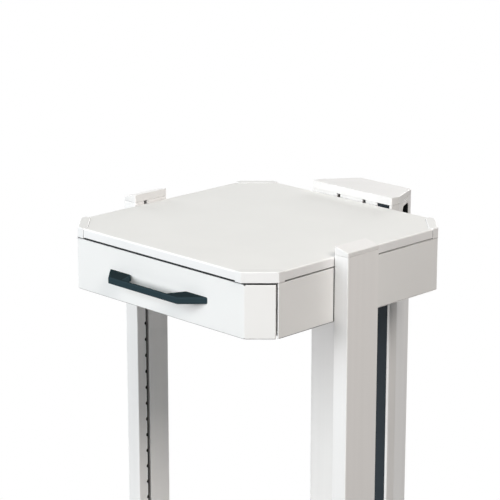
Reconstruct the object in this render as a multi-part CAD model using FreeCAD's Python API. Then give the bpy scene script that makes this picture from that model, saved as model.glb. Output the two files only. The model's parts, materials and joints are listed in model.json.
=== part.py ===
import FreeCAD, Part
import math
import os

# Mobile medication cart. Millimetres, +Z up, +X to the cart's right, drawer opens towards -Y.
# Origin: on the floor, under the centre of the overall box.

V = FreeCAD.Vector
os.makedirs("parts", exist_ok=True)

# ---------------------------------------------------------------- driving dimensions
# Worktop
worktop_width = 497.5
worktop_depth = 492.0
worktop_corner_leg = 42.5
worktop_height = 980.0
board_thickness = 16.0
band_thickness = 3.0
band_edge_radius = 2.6
# Corner caps of the worktop
cap_side_wall = 1.2
cap_corner_wall = 3.0
cap_top_lip = 1.0
cap_rebate = 1.0
cap_bottom_lip = 1.8
cap_side_reach = 13.5
cap_diagonal_reach = 18.0
cap_edge_radius = 1.8
# Spacer frame under the worktop
spacer_thickness = 2.5
spacer_inset = 14.0
spacer_rail_width = 40.0
spacer_cap_gap = 1.0
# Drawer module housing
sheet = 1.5
housing_side_clearance = 0.8
housing_height = 95.5
housing_front_setback = 43.0
housing_back_setback = 2.0
hem_length = 15.0
pan_flange = 7.0
# Drawer
drawer_front_height = 94.0
drawer_front_drop = 20.6
drawer_front_setback = 1.8
drawer_front_side_run = 38.75
drawer_return_run = 37.5
drawer_front_depth = 16.0
drawer_body_gap = 3.0
relief_notch_width = 2.4
relief_notch_height = 2.2
tray_sheet = 1.2
tray_floor_gap = 4.0
tray_height = 72.0
tray_slide_margin = 6.0
# Telescopic slides
slide_thickness = 12.7
slide_height = 45.0
slide_rear_room = 51.0
slide_hem_gap = 1.0
slide_sheet = 1.2
slide_running_gap = 0.8
slide_mid_height = 36.0
slide_inner_height = 26.0
# Bow handle
handle_hole_spacing = 192.0
handle_foot_length = 54.0
handle_projection = 36.5
handle_bar_thickness = 6.5
handle_height = 12.0
handle_bar_half_length = 87.0
handle_inner_half_length = 56.0
handle_edge_radius = 2.2
handle_drop = 60.5
# Side posts
post_gap = 0.6
post_width = 31.4
post_depth = 78.3
post_setback = 176.4
post_wall = 2.5
post_corner_radius = 2.0
post_rise = 4.7
slot_width = 8.0
slot_lip = 4.3
slot_cavity_width = 16.0
slot_cavity_depth = 9.0
slot_setback = 21.5
notch_pitch = 32.0
notch_radius = 4.1
notch_inset = 0.9
notch_first = 13.6
# Caps of the posts and of the column
post_cap_inner_height = 14.7
post_cap_outer_height = 7.6
cap_plug_depth = 10.0
column_plug_depth = 5.0
cap_plug_play = 0.3
# Rear column
column_gap = 2.2
column_width = 200.0
column_side_depth = 20.7
column_taper_run = 36.4
column_taper_depth = 76.7
column_wall = 3.0
column_slot_spacing = 64.0
column_cap_front_height = 15.4
column_cap_back_height = 10.0
column_rise = 4.5
cover_strip_width = 30.4
cover_strip_edge = 5.2
cover_strip_recess = 2.4
cover_strip_thickness = 2.0
cover_channel_depth = 6.0
# Cable outlet in the column's right tapered side
outlet_width = 42.0
outlet_height = 78.0
outlet_corner = 10.0
outlet_rim = 3.5
outlet_lip = 1.2
outlet_top_drop = 4.6
# Fasteners between the housing and the uprights
frame_bolt_neck = 6.0
frame_bolt_head_radius = 5.8
frame_bolt_head = 4.0
frame_bolt_row_offset = 29.0
slot_nut_length = 20.0
slot_nut_thickness = 5.0
slot_nut_play = 1.0
# Base
beam_width = 60.0
beam_height = 40.0
beam_wall = 3.0
beam_front_setback = 10.0
beam_rear_overhang = 18.4
beam_plug_recess = 0.8
beam_plug_depth = 14.0
beam_corner_radius = 4.0
cross_height = 38.0
cross_wall = 2.5
cross_front_depth = 40.0
cross_front_setback = 24.0
cross_rear_margin = 14.0
deck_sheet = 2.0
deck_rim = 14.0
deck_corner_leg = 42.0
deck_beam_overlap = 6.0
deck_shoe_gap = 1.0
shoe_wall = 4.0
shoe_height = 45.0
shoe_taper = 1.5
# Castors
wheel_radius = 50.0
tread_width = 30.0
tyre_thickness = 9.0
castor_height = 130.0
castor_trail = 34.0
castor_inset = 50.0
stem_square = 24.0
stem_grip = 28.0
stem_flange_half = 24.0
stem_flange_leg = 12.0
stem_flange = 6.0
king_pin_radius = 6.0
king_pin_reach = 16.0
running_clearance = 0.05
pin_sides = 16
swivel_gap = 0.4
crown_gap = 3.0
crown_thickness = 7.0
leg_thickness = 5.0
leg_shoulder = 22.0
leg_chin = 7.0
wheel_side_gap = 2.0
head_radius = 21.0
axle_radius = 4.0
boss_radius = 14.0
hub_inset = 1.5
rim_sides = 16
pedal_length = 38.0
pedal_thickness = 5.0
pedal_bend = 0.55
pedal_dip = 2.5
pedal_pin_radius = 2.5
pedal_wheel_gap = 1.0
pedal_side_gap = 1.0

# ---------------------------------------------------------------- derived places
diagonal = math.sqrt(2.0)
beam_top = castor_height + beam_height
handle_front = drawer_front_setback - handle_projection
column_reach = worktop_depth + column_gap + column_side_depth + column_taper_depth
beam_rear_reach = column_reach + beam_rear_overhang
rear_wheel_reach = beam_rear_reach - castor_inset + castor_trail + wheel_radius
# y of the worktop's front edge, so that the overall box is centred on the origin
front = -(rear_wheel_reach + handle_front) / 2.0
back = front + worktop_depth
half_width = worktop_width / 2.0
board_top = worktop_height
board_bottom = board_top - board_thickness
housing_top = board_bottom - spacer_thickness
housing_bottom = housing_top - housing_height
post_inner = half_width + post_gap + housing_side_clearance
housing_half = post_inner - housing_side_clearance
post_outer = post_inner + post_width
post_front = front + post_setback
post_top = board_top + post_rise
slot_centre = post_front + slot_setback + slot_width / 2.0
column_front = back + column_gap
column_back = front + column_reach
column_half = column_width / 2.0
column_top = board_top + column_rise
housing_back = back - housing_back_setback
housing_corner_leg = worktop_corner_leg - 1.0
drawer_front_half_flat = half_width - drawer_front_side_run
post_base = beam_top


# ---------------------------------------------------------------- helpers
def box(x0, x1, y0, y1, z0, z1):
    return Part.makeBox(x1 - x0, y1 - y0, z1 - z0, V(x0, y0, z0))


def prism(points, z0, z1):
    corners = [V(x, y, z0) for x, y in points]
    face = Part.Face(Part.makePolygon(corners + corners[:1]))
    return face.extrude(V(0, 0, z1 - z0))


def side_prism(points, x0, x1):
    """Extrude an outline given as (y, z) along X."""
    corners = [V(x0, y, z) for y, z in points]
    face = Part.Face(Part.makePolygon(corners + corners[:1]))
    return face.extrude(V(x1 - x0, 0, 0))


def rod(start, direction, radius, length):
    return Part.makeCylinder(radius, length, start, direction)


def many_sided(start, direction, radius, length, sides):
    """Bar along X or Z with flat sides, its corners on the radius."""
    across = V(0, 1, 0)
    up = direction.cross(across)
    turns = [2.0 * math.pi * step / sides for step in range(sides)]
    corners = [start + across * (radius * math.cos(turn)) + up * (radius * math.sin(turn)) for turn in turns]
    return Part.Face(Part.makePolygon(corners + corners[:1])).extrude(direction * length)


def pin(start, direction, radius, length):
    """Hidden pin, drawn with flats to keep its facets few."""
    return many_sided(start, direction, radius, length, pin_sides)


def pin_bore(start, direction, radius, length):
    """Cut in which a pin of this radius turns freely."""
    clear = (radius + running_clearance) / math.cos(math.pi / pin_sides)
    return many_sided(start, direction, clear, length, pin_sides)


def octagon(half, y0, y1, leg):
    """Outline with four 45 degree corners of equal leg."""
    return [(-half + leg, y0), (half - leg, y0), (half, y0 + leg), (half, y1 - leg),
            (half - leg, y1), (-half + leg, y1), (-half, y1 - leg), (-half, y0 + leg)]


def inset_octagon(half, y0, y1, leg, inset):
    return octagon(half - inset, y0 + inset, y1 - inset, leg - inset * (2.0 - diagonal))


def mirrored(shape):
    return shape.mirror(V(0, 0, 0), V(1, 0, 0))


def square_bar(start, direction, length):
    """Square neck of a frame bolt, centred on the line from start."""
    half = frame_bolt_neck / 2.0
    if abs(direction.x) > 0.5:
        x0, x1 = sorted((start.x, start.x + direction.x * length))
        return box(x0, x1, start.y - half, start.y + half, start.z - half, start.z + half)
    y0, y1 = sorted((start.y, start.y + direction.y * length))
    return box(start.x - half, start.x + half, y0, y1, start.z - half, start.z + half)


def hex_head(start, direction, radius, length):
    points = [V(radius * math.cos(math.radians(60 * k)), radius * math.sin(math.radians(60 * k)), 0)
              for k in range(7)]
    head = Part.Face(Part.makePolygon(points)).extrude(V(0, 0, length))
    head.Placement = FreeCAD.Placement(start, FreeCAD.Rotation(V(0, 0, 1), direction))
    return head


def fuse_all(shapes):
    return shapes[0].multiFuse(shapes[1:]).removeSplitter()


def rounded(shape, radius, chosen):
    return shape.makeFillet(radius, [edge for edge in shape.Edges if chosen(edge)])


def is_upright(edge):
    first, last = edge.Vertexes[0].Point, edge.Vertexes[-1].Point
    return abs(first.x - last.x) < 1e-6 and abs(first.y - last.y) < 1e-6 and abs(first.z - last.z) > 1e-6


def at_height(z):
    return lambda edge: abs(edge.BoundBox.ZMin - z) < 1e-4 and abs(edge.BoundBox.ZMax - z) < 1e-4


def save(name, shape):
    shape.exportStep("parts/" + name + ".step")


def save_group(name, shapes):
    save(name, Part.makeCompound(shapes))


# ---------------------------------------------------------------- worktop
band_outline = octagon(half_width, front, back, worktop_corner_leg + cap_corner_wall * diagonal)
core_outline = inset_octagon(half_width, front, back, worktop_corner_leg + cap_corner_wall * diagonal,
                             band_thickness)


def cap_block(low, high):
    """Block with the outline of the front right corner cap."""
    half = half_width + cap_side_wall
    y0 = front - cap_side_wall
    # the cap's own 45 degree face lies on the worktop's nominal corner line
    kink_front = (half_width - worktop_corner_leg - cap_side_wall, y0)
    kink_side = (half, front + worktop_corner_leg + cap_side_wall)
    seam_x = kink_front[0] - cap_side_reach
    seam_y = kink_side[1] + cap_side_reach
    inner_line = half_width - worktop_corner_leg - front - cap_diagonal_reach * diagonal
    return prism([kink_front, kink_side, (half, seam_y), (inner_line + seam_y, seam_y),
                  (seam_x, seam_x - inner_line), (seam_x, y0)], low, high)


def flipped_in_depth(shape):
    middle = (front + back) / 2.0
    return shape.mirror(V(0, middle, 0), V(0, 1, 0))


def rebated(board):
    """Cut the shallow corner rebates that the lips of the corner caps lie in."""
    block = cap_block(board_top - cap_rebate, board_top)
    for cutter in (block, mirrored(block), flipped_in_depth(block), mirrored(flipped_in_depth(block))):
        board = board.cut(cutter)
    return board


def worktop_panel():
    return rebated(prism(core_outline, board_bottom, board_top))


def edge_band():
    outer = prism(band_outline, board_bottom, board_top)
    outer = rounded(outer, band_edge_radius, at_height(board_top))
    return rebated(outer.cut(prism(core_outline, board_bottom, board_top)))


def corner_cap():
    """Moulded cap that clips round the front right corner of the board."""
    high = board_top + cap_top_lip

    def outer_top(edge):
        middle = edge.CenterOfMass
        outside = middle.x - middle.y > half_width - worktop_corner_leg - front - 1.0
        outside = outside or middle.x > half_width or middle.y < front
        return at_height(high)(edge) and outside

    cap = rounded(cap_block(board_bottom - cap_bottom_lip, high), cap_edge_radius, outer_top)
    return cap.cut(prism(band_outline, board_bottom, board_top - cap_rebate))


def worktop_spacer():
    """Frame that leaves a shadow gap between the housing and the worktop."""
    # the corners stay clear of the corner caps, which reach below the board
    leg = worktop_corner_leg + (cap_diagonal_reach + spacer_cap_gap) * diagonal - 2.0 * spacer_inset
    half, y0, y1 = half_width - spacer_inset, front + spacer_inset, back - spacer_inset
    frame = prism(octagon(half, y0, y1, leg), housing_top, board_bottom)
    return frame.cut(prism(inset_octagon(half, y0, y1, leg, spacer_rail_width), housing_top, board_bottom))


# ---------------------------------------------------------------- housing
housing_inner = housing_half - sheet
bolt_rows = [housing_top - housing_height / 2.0 + offset for offset in
             (-frame_bolt_row_offset, frame_bolt_row_offset)]
side_bolt_places = [(slot_centre, z) for z in bolt_rows]
back_bolt_places = [(side * column_slot_spacing / 2.0, z) for side in (-1, 1) for z in bolt_rows]


def housing_side():
    """Right side sheet: hemmed front edge, straight side and rear 45 degree corner."""
    y0 = front + housing_front_setback
    leg = housing_corner_leg
    shift = sheet * (diagonal - 1.0)
    end = housing_half - leg
    outline = [(housing_half, y0), (housing_half, housing_back - leg), (end, housing_back),
               (end - shift, housing_back - sheet), (housing_inner, housing_back - leg - shift),
               (housing_inner, y0 + hem_length), (housing_inner - sheet, y0 + hem_length),
               (housing_inner - sheet, y0)]
    wall = prism(outline, housing_bottom, housing_top)
    wall = rounded(wall, sheet * 0.9,
                   lambda edge: is_upright(edge) and abs(edge.CenterOfMass.y - y0) < 1e-4)
    for y, z in side_bolt_places:
        wall = wall.cut(square_bar(V(housing_inner, y, z), V(1, 0, 0), sheet))
    return wall


def housing_sheet_outline(inset):
    """Plate outline inside the side sheets; its front follows the back of the drawer front."""
    half = housing_inner - inset
    y1 = housing_back - sheet - inset
    offset = drawer_front_depth + drawer_body_gap + inset
    y0 = face_front + offset
    flat = drawer_front_half_flat - offset * (diagonal - 1.0)
    leg = housing_corner_leg - (sheet + inset) * (2.0 - diagonal)
    run = half - flat
    return [(-flat, y0), (flat, y0), (half, y0 + run), (half, y1 - leg),
            (half - leg, y1), (-half + leg, y1), (-half, y1 - leg), (-half, y0 + run)]


def housing_top_sheet():
    return prism(housing_sheet_outline(0.0), housing_top - sheet, housing_top)


def housing_floor():
    z0 = housing_bottom
    outline = housing_sheet_outline(0.0)
    pan = prism(outline, z0, z0 + pan_flange)
    pan = pan.cut(prism(housing_sheet_outline(sheet), z0 + sheet, z0 + pan_flange))
    # the front edge stays flat, so that the drawer passes over it
    side_start = outline[2][1]
    return pan.cut(box(-housing_half, housing_half, face_front, side_start + hem_length,
                       z0 + sheet, z0 + pan_flange))


def housing_back_sheet():
    half = housing_half - housing_corner_leg - sheet * (diagonal - 1.0)
    y1 = housing_back
    plate = box(-half, half, y1 - sheet, y1, housing_bottom + sheet, housing_top - sheet)
    for x, z in back_bolt_places:
        plate = plate.cut(square_bar(V(x, y1 - sheet, z), V(0, 1, 0), sheet))
    return plate


# ---------------------------------------------------------------- drawer
face_top = board_top - drawer_front_drop
face_bottom = face_top - drawer_front_height
face_front = front + drawer_front_setback
handle_middle = board_top - handle_drop - handle_height / 2.0


def front_band(near, far, trim):
    """Band between two depths behind the drawer's flat front and its 45 degree returns.

    trim shortens both returns along their length."""
    end_x = drawer_front_half_flat + drawer_return_run - trim / diagonal
    end_y = face_front + drawer_return_run - trim / diagonal
    right = [(drawer_front_half_flat - near * (diagonal - 1.0), face_front + near),
             (end_x - near / diagonal, end_y + near / diagonal),
             (end_x - far / diagonal, end_y + far / diagonal),
             (drawer_front_half_flat - far * (diagonal - 1.0), face_front + far)]
    left = [(-x, y) for x, y in reversed(right)]
    return right + left


def drawer_front():
    """Folded sheet front: flat face, 45 degree returns, flanges all round, relief at the bends."""
    depth = drawer_front_depth
    panel = prism(front_band(0.0, depth, 0.0), face_bottom, face_top)
    panel = panel.cut(prism(front_band(sheet, depth + sheet, sheet), face_bottom + sheet, face_top - sheet))
    for side in (-1, 1):
        x = side * drawer_front_half_flat
        for z in (face_bottom, face_top - relief_notch_height):
            panel = panel.cut(box(x - relief_notch_width / 2.0, x + relief_notch_width / 2.0,
                                  face_front - sheet, face_front + depth + sheet,
                                  z, z + relief_notch_height))
    return panel


def handle():
    """Moulded bow handle: straight bar, arms splayed at 45 degrees, long flat feet."""
    outer_foot = (handle_hole_spacing + handle_foot_length) / 2.0
    inner_foot = (handle_hole_spacing - handle_foot_length) / 2.0
    y_bar = face_front - handle_projection
    y_bar_back = y_bar + handle_bar_thickness
    right = [(outer_foot, face_front), (inner_foot, face_front), (handle_inner_half_length, y_bar_back)]
    left = [(-x, y) for x, y in reversed(right)]
    outline = right + left + [(-handle_bar_half_length, y_bar), (handle_bar_half_length, y_bar)]
    low = handle_middle - handle_height / 2.0
    body = prism(outline, low, low + handle_height)

    return rounded(body, handle_edge_radius, lambda edge: not is_upright(edge)
                   and edge.BoundBox.YMin < face_front - 1e-3)


tray_half = housing_inner - slide_thickness
tray_bottom = housing_bottom + sheet + tray_floor_gap
slide_front = front + housing_front_setback + hem_length + slide_hem_gap
slide_length = housing_back - slide_rear_room - slide_front
tray_back = slide_front + slide_length + tray_slide_margin


def tray_outline(inset):
    """Tray outline; its front corners follow the returns of the drawer front."""
    half = tray_half - inset
    depth = drawer_front_depth + inset
    y0 = face_front + depth
    flat = drawer_front_half_flat - depth * (diagonal - 1.0)
    return [(-flat, y0), (flat, y0), (half, y0 + half - flat), (half, tray_back - inset),
            (-half, tray_back - inset), (-half, y0 + half - flat)]


def drawer_tray():
    tray = prism(tray_outline(0.0), tray_bottom, tray_bottom + tray_height)
    return tray.cut(prism(tray_outline(tray_sheet), tray_bottom + tray_sheet, tray_bottom + tray_height))


# ---------------------------------------------------------------- telescopic slides
slide_middle = housing_top - housing_height / 2.0


def channel(x_web, depth, height, y0):
    """C channel on the right side: web at x_web, lips pointing by depth (negative: inwards)."""
    x0, x1 = sorted((x_web, x_web + depth))
    z0 = slide_middle - height / 2.0
    body = box(x0, x1, y0, y0 + slide_length, z0, z0 + height)
    web_side = slide_sheet if depth > 0 else -slide_sheet
    cut0, cut1 = sorted((x_web + web_side, x_web + depth * 1.5))
    return body.cut(box(cut0, cut1, y0 - 1.0, y0 + slide_length + 1.0,
                        z0 + slide_sheet, z0 + height - slide_sheet))


def slide_outer():
    return channel(housing_inner, -(slide_thickness - slide_running_gap - 2.0), slide_height, slide_front)


def slide_mid():
    web = housing_inner - slide_sheet - slide_running_gap - 0.4
    return channel(web, -(slide_thickness - 2.0 * slide_sheet - 3.0 * slide_running_gap), slide_mid_height,
                   slide_front)


def slide_inner():
    web = housing_inner - slide_thickness
    return channel(web, slide_thickness - 2.0 * slide_sheet - 3.0 * slide_running_gap - 1.0,
                   slide_inner_height, slide_front)


# ---------------------------------------------------------------- slotted profiles
def notch_cutter(start, direction, depth):
    """Eight-sided bar that bites a rounded notch out of a slot lip."""
    points = [V(notch_radius * math.cos(math.radians(45 * k)),
                notch_radius * math.sin(math.radians(45 * k)), 0) for k in range(9)]
    cutter = Part.Face(Part.makePolygon(points)).extrude(V(0, 0, depth))
    cutter.Placement = FreeCAD.Placement(start, FreeCAD.Rotation(V(0, 0, 1), direction))
    return cutter


def notch_heights(top, bottom):
    count = int((top - notch_first - bottom - shoe_height) / notch_pitch)
    return [top - notch_first - notch_pitch * step for step in range(count + 1)]


def post():
    """Right post: chambered profile with a T slot on the inner face and locating notches."""
    x0, x1 = post_inner, post_outer
    y0, y1 = post_front, post_front + post_depth
    z0, z1 = post_base, post_top
    body = box(x0, x1, y0, y1, z0, z1)
    body = rounded(body, post_corner_radius, is_upright)
    wall = post_wall
    cavity_front = slot_centre - slot_cavity_width / 2.0
    cavity_rear = slot_centre + slot_cavity_width / 2.0
    cavity_back = x0 + slot_lip + slot_cavity_depth
    slot_half = slot_width / 2.0
    cuts = [box(x0, x0 + slot_lip, slot_centre - slot_half, slot_centre + slot_half, z0, z1),
            box(x0 + slot_lip, cavity_back, cavity_front, cavity_rear, z0, z1),
            box(x0 + wall, x1 - wall, y0 + wall, cavity_front - wall, z0, z1),
            box(x0 + wall, x1 - wall, cavity_rear + wall, y1 - wall, z0, z1),
            box(cavity_back + wall, x1 - wall, cavity_front, cavity_rear, z0, z1)]
    notch_y = slot_centre - slot_width / 2.0 + notch_inset
    for z in notch_heights(z1, z0):
        cuts.append(notch_cutter(V(x0, notch_y, z), V(1, 0, 0), slot_lip))
    for cut in cuts:
        body = body.cut(cut)
    return body


def post_cap():
    """Cap with a top that falls away outwards, and a plug in the profile's rear chamber."""
    x0, x1 = post_inner, post_outer
    y0, y1 = post_front, post_front + post_depth
    z0 = post_top
    corners = [V(x0, y0, z0), V(x1, y0, z0), V(x1, y0, z0 + post_cap_outer_height),
               V(x0, y0, z0 + post_cap_inner_height)]
    cap = Part.Face(Part.makePolygon(corners + corners[:1])).extrude(V(0, post_depth, 0))
    cap = rounded(cap, post_corner_radius, is_upright)
    play = post_wall + cap_plug_play
    plug_front = slot_centre + slot_cavity_width / 2.0 + play
    plug = box(x0 + play, x1 - play, plug_front, y1 - play, z0 - cap_plug_depth, z0 + 1.0)
    return cap.fuse(plug).removeSplitter()


def column_outline(inset):
    y0 = column_front + inset
    y1 = column_back - inset
    angle = math.atan2(column_taper_run, column_taper_depth)
    half = column_half - inset
    knee = column_front + column_side_depth - inset * math.tan(angle / 2.0)
    back_half = column_half - column_taper_run - inset * (1.0 - math.sin(angle)) / math.cos(angle)
    return [(-half, y0), (half, y0), (half, knee), (back_half, y1), (-back_half, y1), (-half, knee)]


strip_right = column_half - cover_strip_edge
strip_left = strip_right - cover_strip_width
outlet_angle = math.degrees(math.atan2(column_taper_run, column_taper_depth))
outlet_centre = V(column_half - column_taper_run / 2.0,
                  column_front + column_side_depth + column_taper_depth / 2.0,
                  board_top - outlet_top_drop - outlet_height / 2.0)


def outlet_block(width, height, corner, outside, inside):
    """Rounded rectangular block lying across the tapered right side of the column."""
    block = Part.makeBox(outside + inside, width, height, V(-inside, -width / 2.0, -height / 2.0))
    block = block.makeFillet(corner, [edge for edge in block.Edges
                                      if edge.BoundBox.XLength > outside + inside - 1e-3])
    block.rotate(V(0, 0, 0), V(0, 0, 1), outlet_angle)
    block.translate(outlet_centre)
    return block


def rear_column():
    z0, z1 = post_base, column_top
    body = prism(column_outline(0.0), z0, z1)
    body = rounded(body, post_corner_radius, is_upright)
    y0 = column_front
    pocket = y0 + slot_lip + slot_cavity_depth + column_wall
    duct = prism(column_outline(column_wall), z0, z1)
    keep = box(-column_half, column_half, y0, pocket, z0, z1)
    body = body.cut(duct.cut(keep))
    chamber = column_slot_spacing / 2.0 - slot_cavity_width / 2.0 - column_wall
    body = body.cut(box(-chamber, chamber, y0 + column_wall, pocket - column_wall, z0, z1))
    for side in (-1, 1):
        x = side * column_slot_spacing / 2.0
        body = body.cut(box(x - slot_width / 2.0, x + slot_width / 2.0, y0 - 1.0, y0 + slot_lip, z0, z1))
        body = body.cut(box(x - slot_cavity_width / 2.0, x + slot_cavity_width / 2.0,
                            y0 + slot_lip, y0 + slot_lip + slot_cavity_depth, z0, z1))
        notch_x = x + slot_width / 2.0 - notch_inset
        for z in notch_heights(z1, z0):
            body = body.cut(notch_cutter(V(notch_x, y0, z), V(0, 1, 0), slot_lip))
    body = body.cut(box(strip_left, strip_right, y0 - 1.0, y0 + cover_channel_depth, z0, z1))
    return body.cut(outlet_block(outlet_width, outlet_height, outlet_corner, 12.0, 12.0))


def cover_strip():
    y0 = column_front + cover_strip_recess
    strip = box(strip_left, strip_right, y0, y0 + cover_strip_thickness, post_base + shoe_height, column_top)
    for x0 in (strip_left, strip_right - cover_strip_thickness):
        strip = strip.fuse(box(x0, x0 + cover_strip_thickness, y0, column_front + cover_channel_depth,
                               post_base + shoe_height, column_top))
    return strip.removeSplitter()


def cable_outlet():
    """Frame round the cut-out; it covers the cut edge of the profile."""
    rim = outlet_block(outlet_width + 2.0 * outlet_rim, outlet_height + 2.0 * outlet_rim,
                       outlet_corner + outlet_rim, outlet_lip, 0.0)
    hole = outlet_block(outlet_width - 2.0 * outlet_lip, outlet_height - 2.0 * outlet_lip,
                        outlet_corner - outlet_lip, outlet_lip, outlet_lip)
    return rim.cut(hole)


def column_cap():
    z0 = column_top
    body = prism(column_outline(0.0), z0, z0 + column_cap_front_height + 1.0)
    drop = column_cap_front_height - column_cap_back_height
    wedge = side_prism([(column_front, z0 + column_cap_front_height),
                        (column_back, z0 + column_cap_front_height - drop),
                        (column_back + 5.0, z0 + column_cap_front_height - drop),
                        (column_back + 5.0, z0 + column_cap_front_height + 5.0),
                        (column_front - 5.0, z0 + column_cap_front_height + 5.0),
                        (column_front - 5.0, z0 + column_cap_front_height)],
                       -column_half - 5.0, column_half + 5.0)
    body = body.cut(wedge)
    body = rounded(body, post_corner_radius, is_upright)
    plug_inset = column_wall + cap_plug_play
    pocket = column_front + slot_lip + slot_cavity_depth + column_wall + cap_plug_play
    plug = prism(column_outline(plug_inset), z0 - column_plug_depth, z0 + 1.0)
    plug = plug.cut(box(-column_half, column_half, column_front, pocket, z0 - column_plug_depth, z0 + 1.0))
    return body.fuse(plug).removeSplitter()


# ---------------------------------------------------------------- bolts and slot nuts
def frame_bolt(start, direction, reach):
    neck = square_bar(start, direction, reach)
    head = hex_head(start, V(-direction.x, -direction.y, 0), frame_bolt_head_radius, frame_bolt_head)
    return neck.fuse(head)


def frame_bolts():
    """Bolts from inside the housing into the slots of the posts and of the column."""
    reach = sheet + housing_side_clearance + slot_lip
    bolts = [frame_bolt(V(side * housing_inner, y, z), V(side, 0, 0), reach)
             for side in (-1, 1) for y, z in side_bolt_places]
    reach = column_front - housing_back + sheet + slot_lip
    bolts += [frame_bolt(V(x, housing_back - sheet, z), V(0, 1, 0), reach) for x, z in back_bolt_places]
    return bolts


def slot_nuts():
    """T nuts that the frame bolts pull against the slot lips."""
    half_width_of_nut = (slot_cavity_width - slot_nut_play) / 2.0
    half_length = slot_nut_length / 2.0
    nuts = []
    for side in (-1, 1):
        x_lip = side * (post_inner + slot_lip)
        x0, x1 = sorted((x_lip, x_lip + side * slot_nut_thickness))
        for y, z in side_bolt_places:
            nuts.append(box(x0, x1, y - half_width_of_nut, y + half_width_of_nut,
                            z - half_length, z + half_length))
    y0 = column_front + slot_lip
    for x, z in back_bolt_places:
        nuts.append(box(x - half_width_of_nut, x + half_width_of_nut, y0, y0 + slot_nut_thickness,
                        z - half_length, z + half_length))
    return nuts


# ---------------------------------------------------------------- base
beam_centre = (post_inner + post_outer) / 2.0
beam_inner = beam_centre - beam_width / 2.0
beam_y0 = front + beam_front_setback
beam_y1 = front + beam_rear_reach
castor_ys = {"front": beam_y0 + castor_inset, "rear": beam_y1 - castor_inset}


def base_beam():
    x0, x1 = beam_inner, beam_inner + beam_width
    body = box(x0, x1, beam_y0, beam_y1, castor_height, beam_top)
    body = rounded(body, beam_corner_radius, lambda edge: edge.BoundBox.YLength > beam_width)
    wall = beam_wall
    body = body.cut(box(x0 + wall, x1 - wall, beam_y0 - 1.0, beam_y1 + 1.0, castor_height + wall,
                        beam_top - wall))
    half = stem_square / 2.0
    for y in castor_ys.values():
        body = body.cut(box(beam_centre - half, beam_centre + half, y - half, y + half,
                            castor_height, castor_height + wall))
    return body


def beam_end_plug(y_open, direction):
    """Plug pressed into one end of the right beam."""
    wall = beam_wall
    y0, y1 = sorted((y_open - direction * beam_plug_recess, y_open - direction * beam_plug_depth))
    return box(beam_inner + wall, beam_inner + beam_width - wall, y0, y1, castor_height + wall,
               beam_top - wall)


def tube_across(y0, y1):
    """Rectangular tube between the two beams."""
    z0 = beam_top - cross_height
    body = box(-beam_inner, beam_inner, y0, y1, z0, beam_top)
    return body.cut(box(-beam_inner - 1.0, beam_inner + 1.0, y0 + cross_wall, y1 - cross_wall,
                        z0 + cross_wall, beam_top - cross_wall))


cross_front_y0 = front + cross_front_setback
cross_rear_y0 = column_front - cross_rear_margin
cross_rear_y1 = column_back + cross_rear_margin
deck_y0 = cross_front_y0 + 2.0
deck_y1 = column_front - shoe_wall - shoe_taper - deck_shoe_gap


def base_deck():
    """Shelf pan that lies on the beams and on both cross tubes."""
    half = beam_inner + deck_beam_overlap
    pan = prism(octagon(half, deck_y0, deck_y1, deck_corner_leg), beam_top, beam_top + deck_rim)
    inside = inset_octagon(half, deck_y0, deck_y1, deck_corner_leg, deck_sheet)
    return pan.cut(prism(inside, beam_top + deck_sheet, beam_top + deck_rim))


def shoe_loft(lower, upper):
    """Tapered block between two outlines at the shoe's foot and top."""
    wires = []
    for outline, z in ((lower, post_base), (upper, post_base + shoe_height)):
        corners = [V(x, y, z) for x, y in outline]
        wires.append(Part.makePolygon(corners + corners[:1]))
    return Part.makeLoft(wires, True, True)


def post_rectangle(margin):
    x0, x1 = post_inner - margin, post_outer + margin
    y0, y1 = post_front - margin, post_front + post_depth + margin
    return [(x0, y0), (x1, y0), (x1, y1), (x0, y1)]


def post_shoe():
    block = shoe_loft(post_rectangle(shoe_wall + shoe_taper), post_rectangle(shoe_wall))
    return block.cut(prism(post_rectangle(0.0), post_base, post_base + shoe_height))


def column_shoe():
    lower = column_outline(-shoe_wall - shoe_taper)
    upper = column_outline(-shoe_wall)
    return shoe_loft(lower, upper).cut(prism(column_outline(0.0), post_base, post_base + shoe_height))


# ---------------------------------------------------------------- castors, built at the origin
def castor_stem():
    """Square stem for the beam, eight-sided flange, and king pin for the fork."""
    half = stem_square / 2.0
    stem = box(-half, half, -half, half, castor_height, castor_height + stem_grip)
    flange = prism(octagon(stem_flange_half, -stem_flange_half, stem_flange_half, stem_flange_leg),
                   castor_height - stem_flange, castor_height)
    king_pin = pin(V(0, 0, castor_height - stem_flange - king_pin_reach), V(0, 0, 1), king_pin_radius,
                   king_pin_reach)
    return fuse_all([stem, flange, king_pin])


fork_half = tread_width / 2.0 + wheel_side_gap + leg_thickness
head_top = castor_height - stem_flange - swivel_gap
crown_bottom = 2.0 * wheel_radius + crown_gap
crown_top = crown_bottom + crown_thickness
pedal_angle = math.radians(36.0)
pedal_reach = wheel_radius + pedal_pin_radius + pedal_wheel_gap
pedal_pivot = V(0, castor_trail + pedal_reach * math.cos(pedal_angle),
                wheel_radius + pedal_reach * math.sin(pedal_angle))


def about_axle(angle):
    """Point of the axle boss on the fork's left face."""
    return V(-fork_half, castor_trail + boss_radius * math.cos(angle),
             wheel_radius + boss_radius * math.sin(angle))


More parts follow.
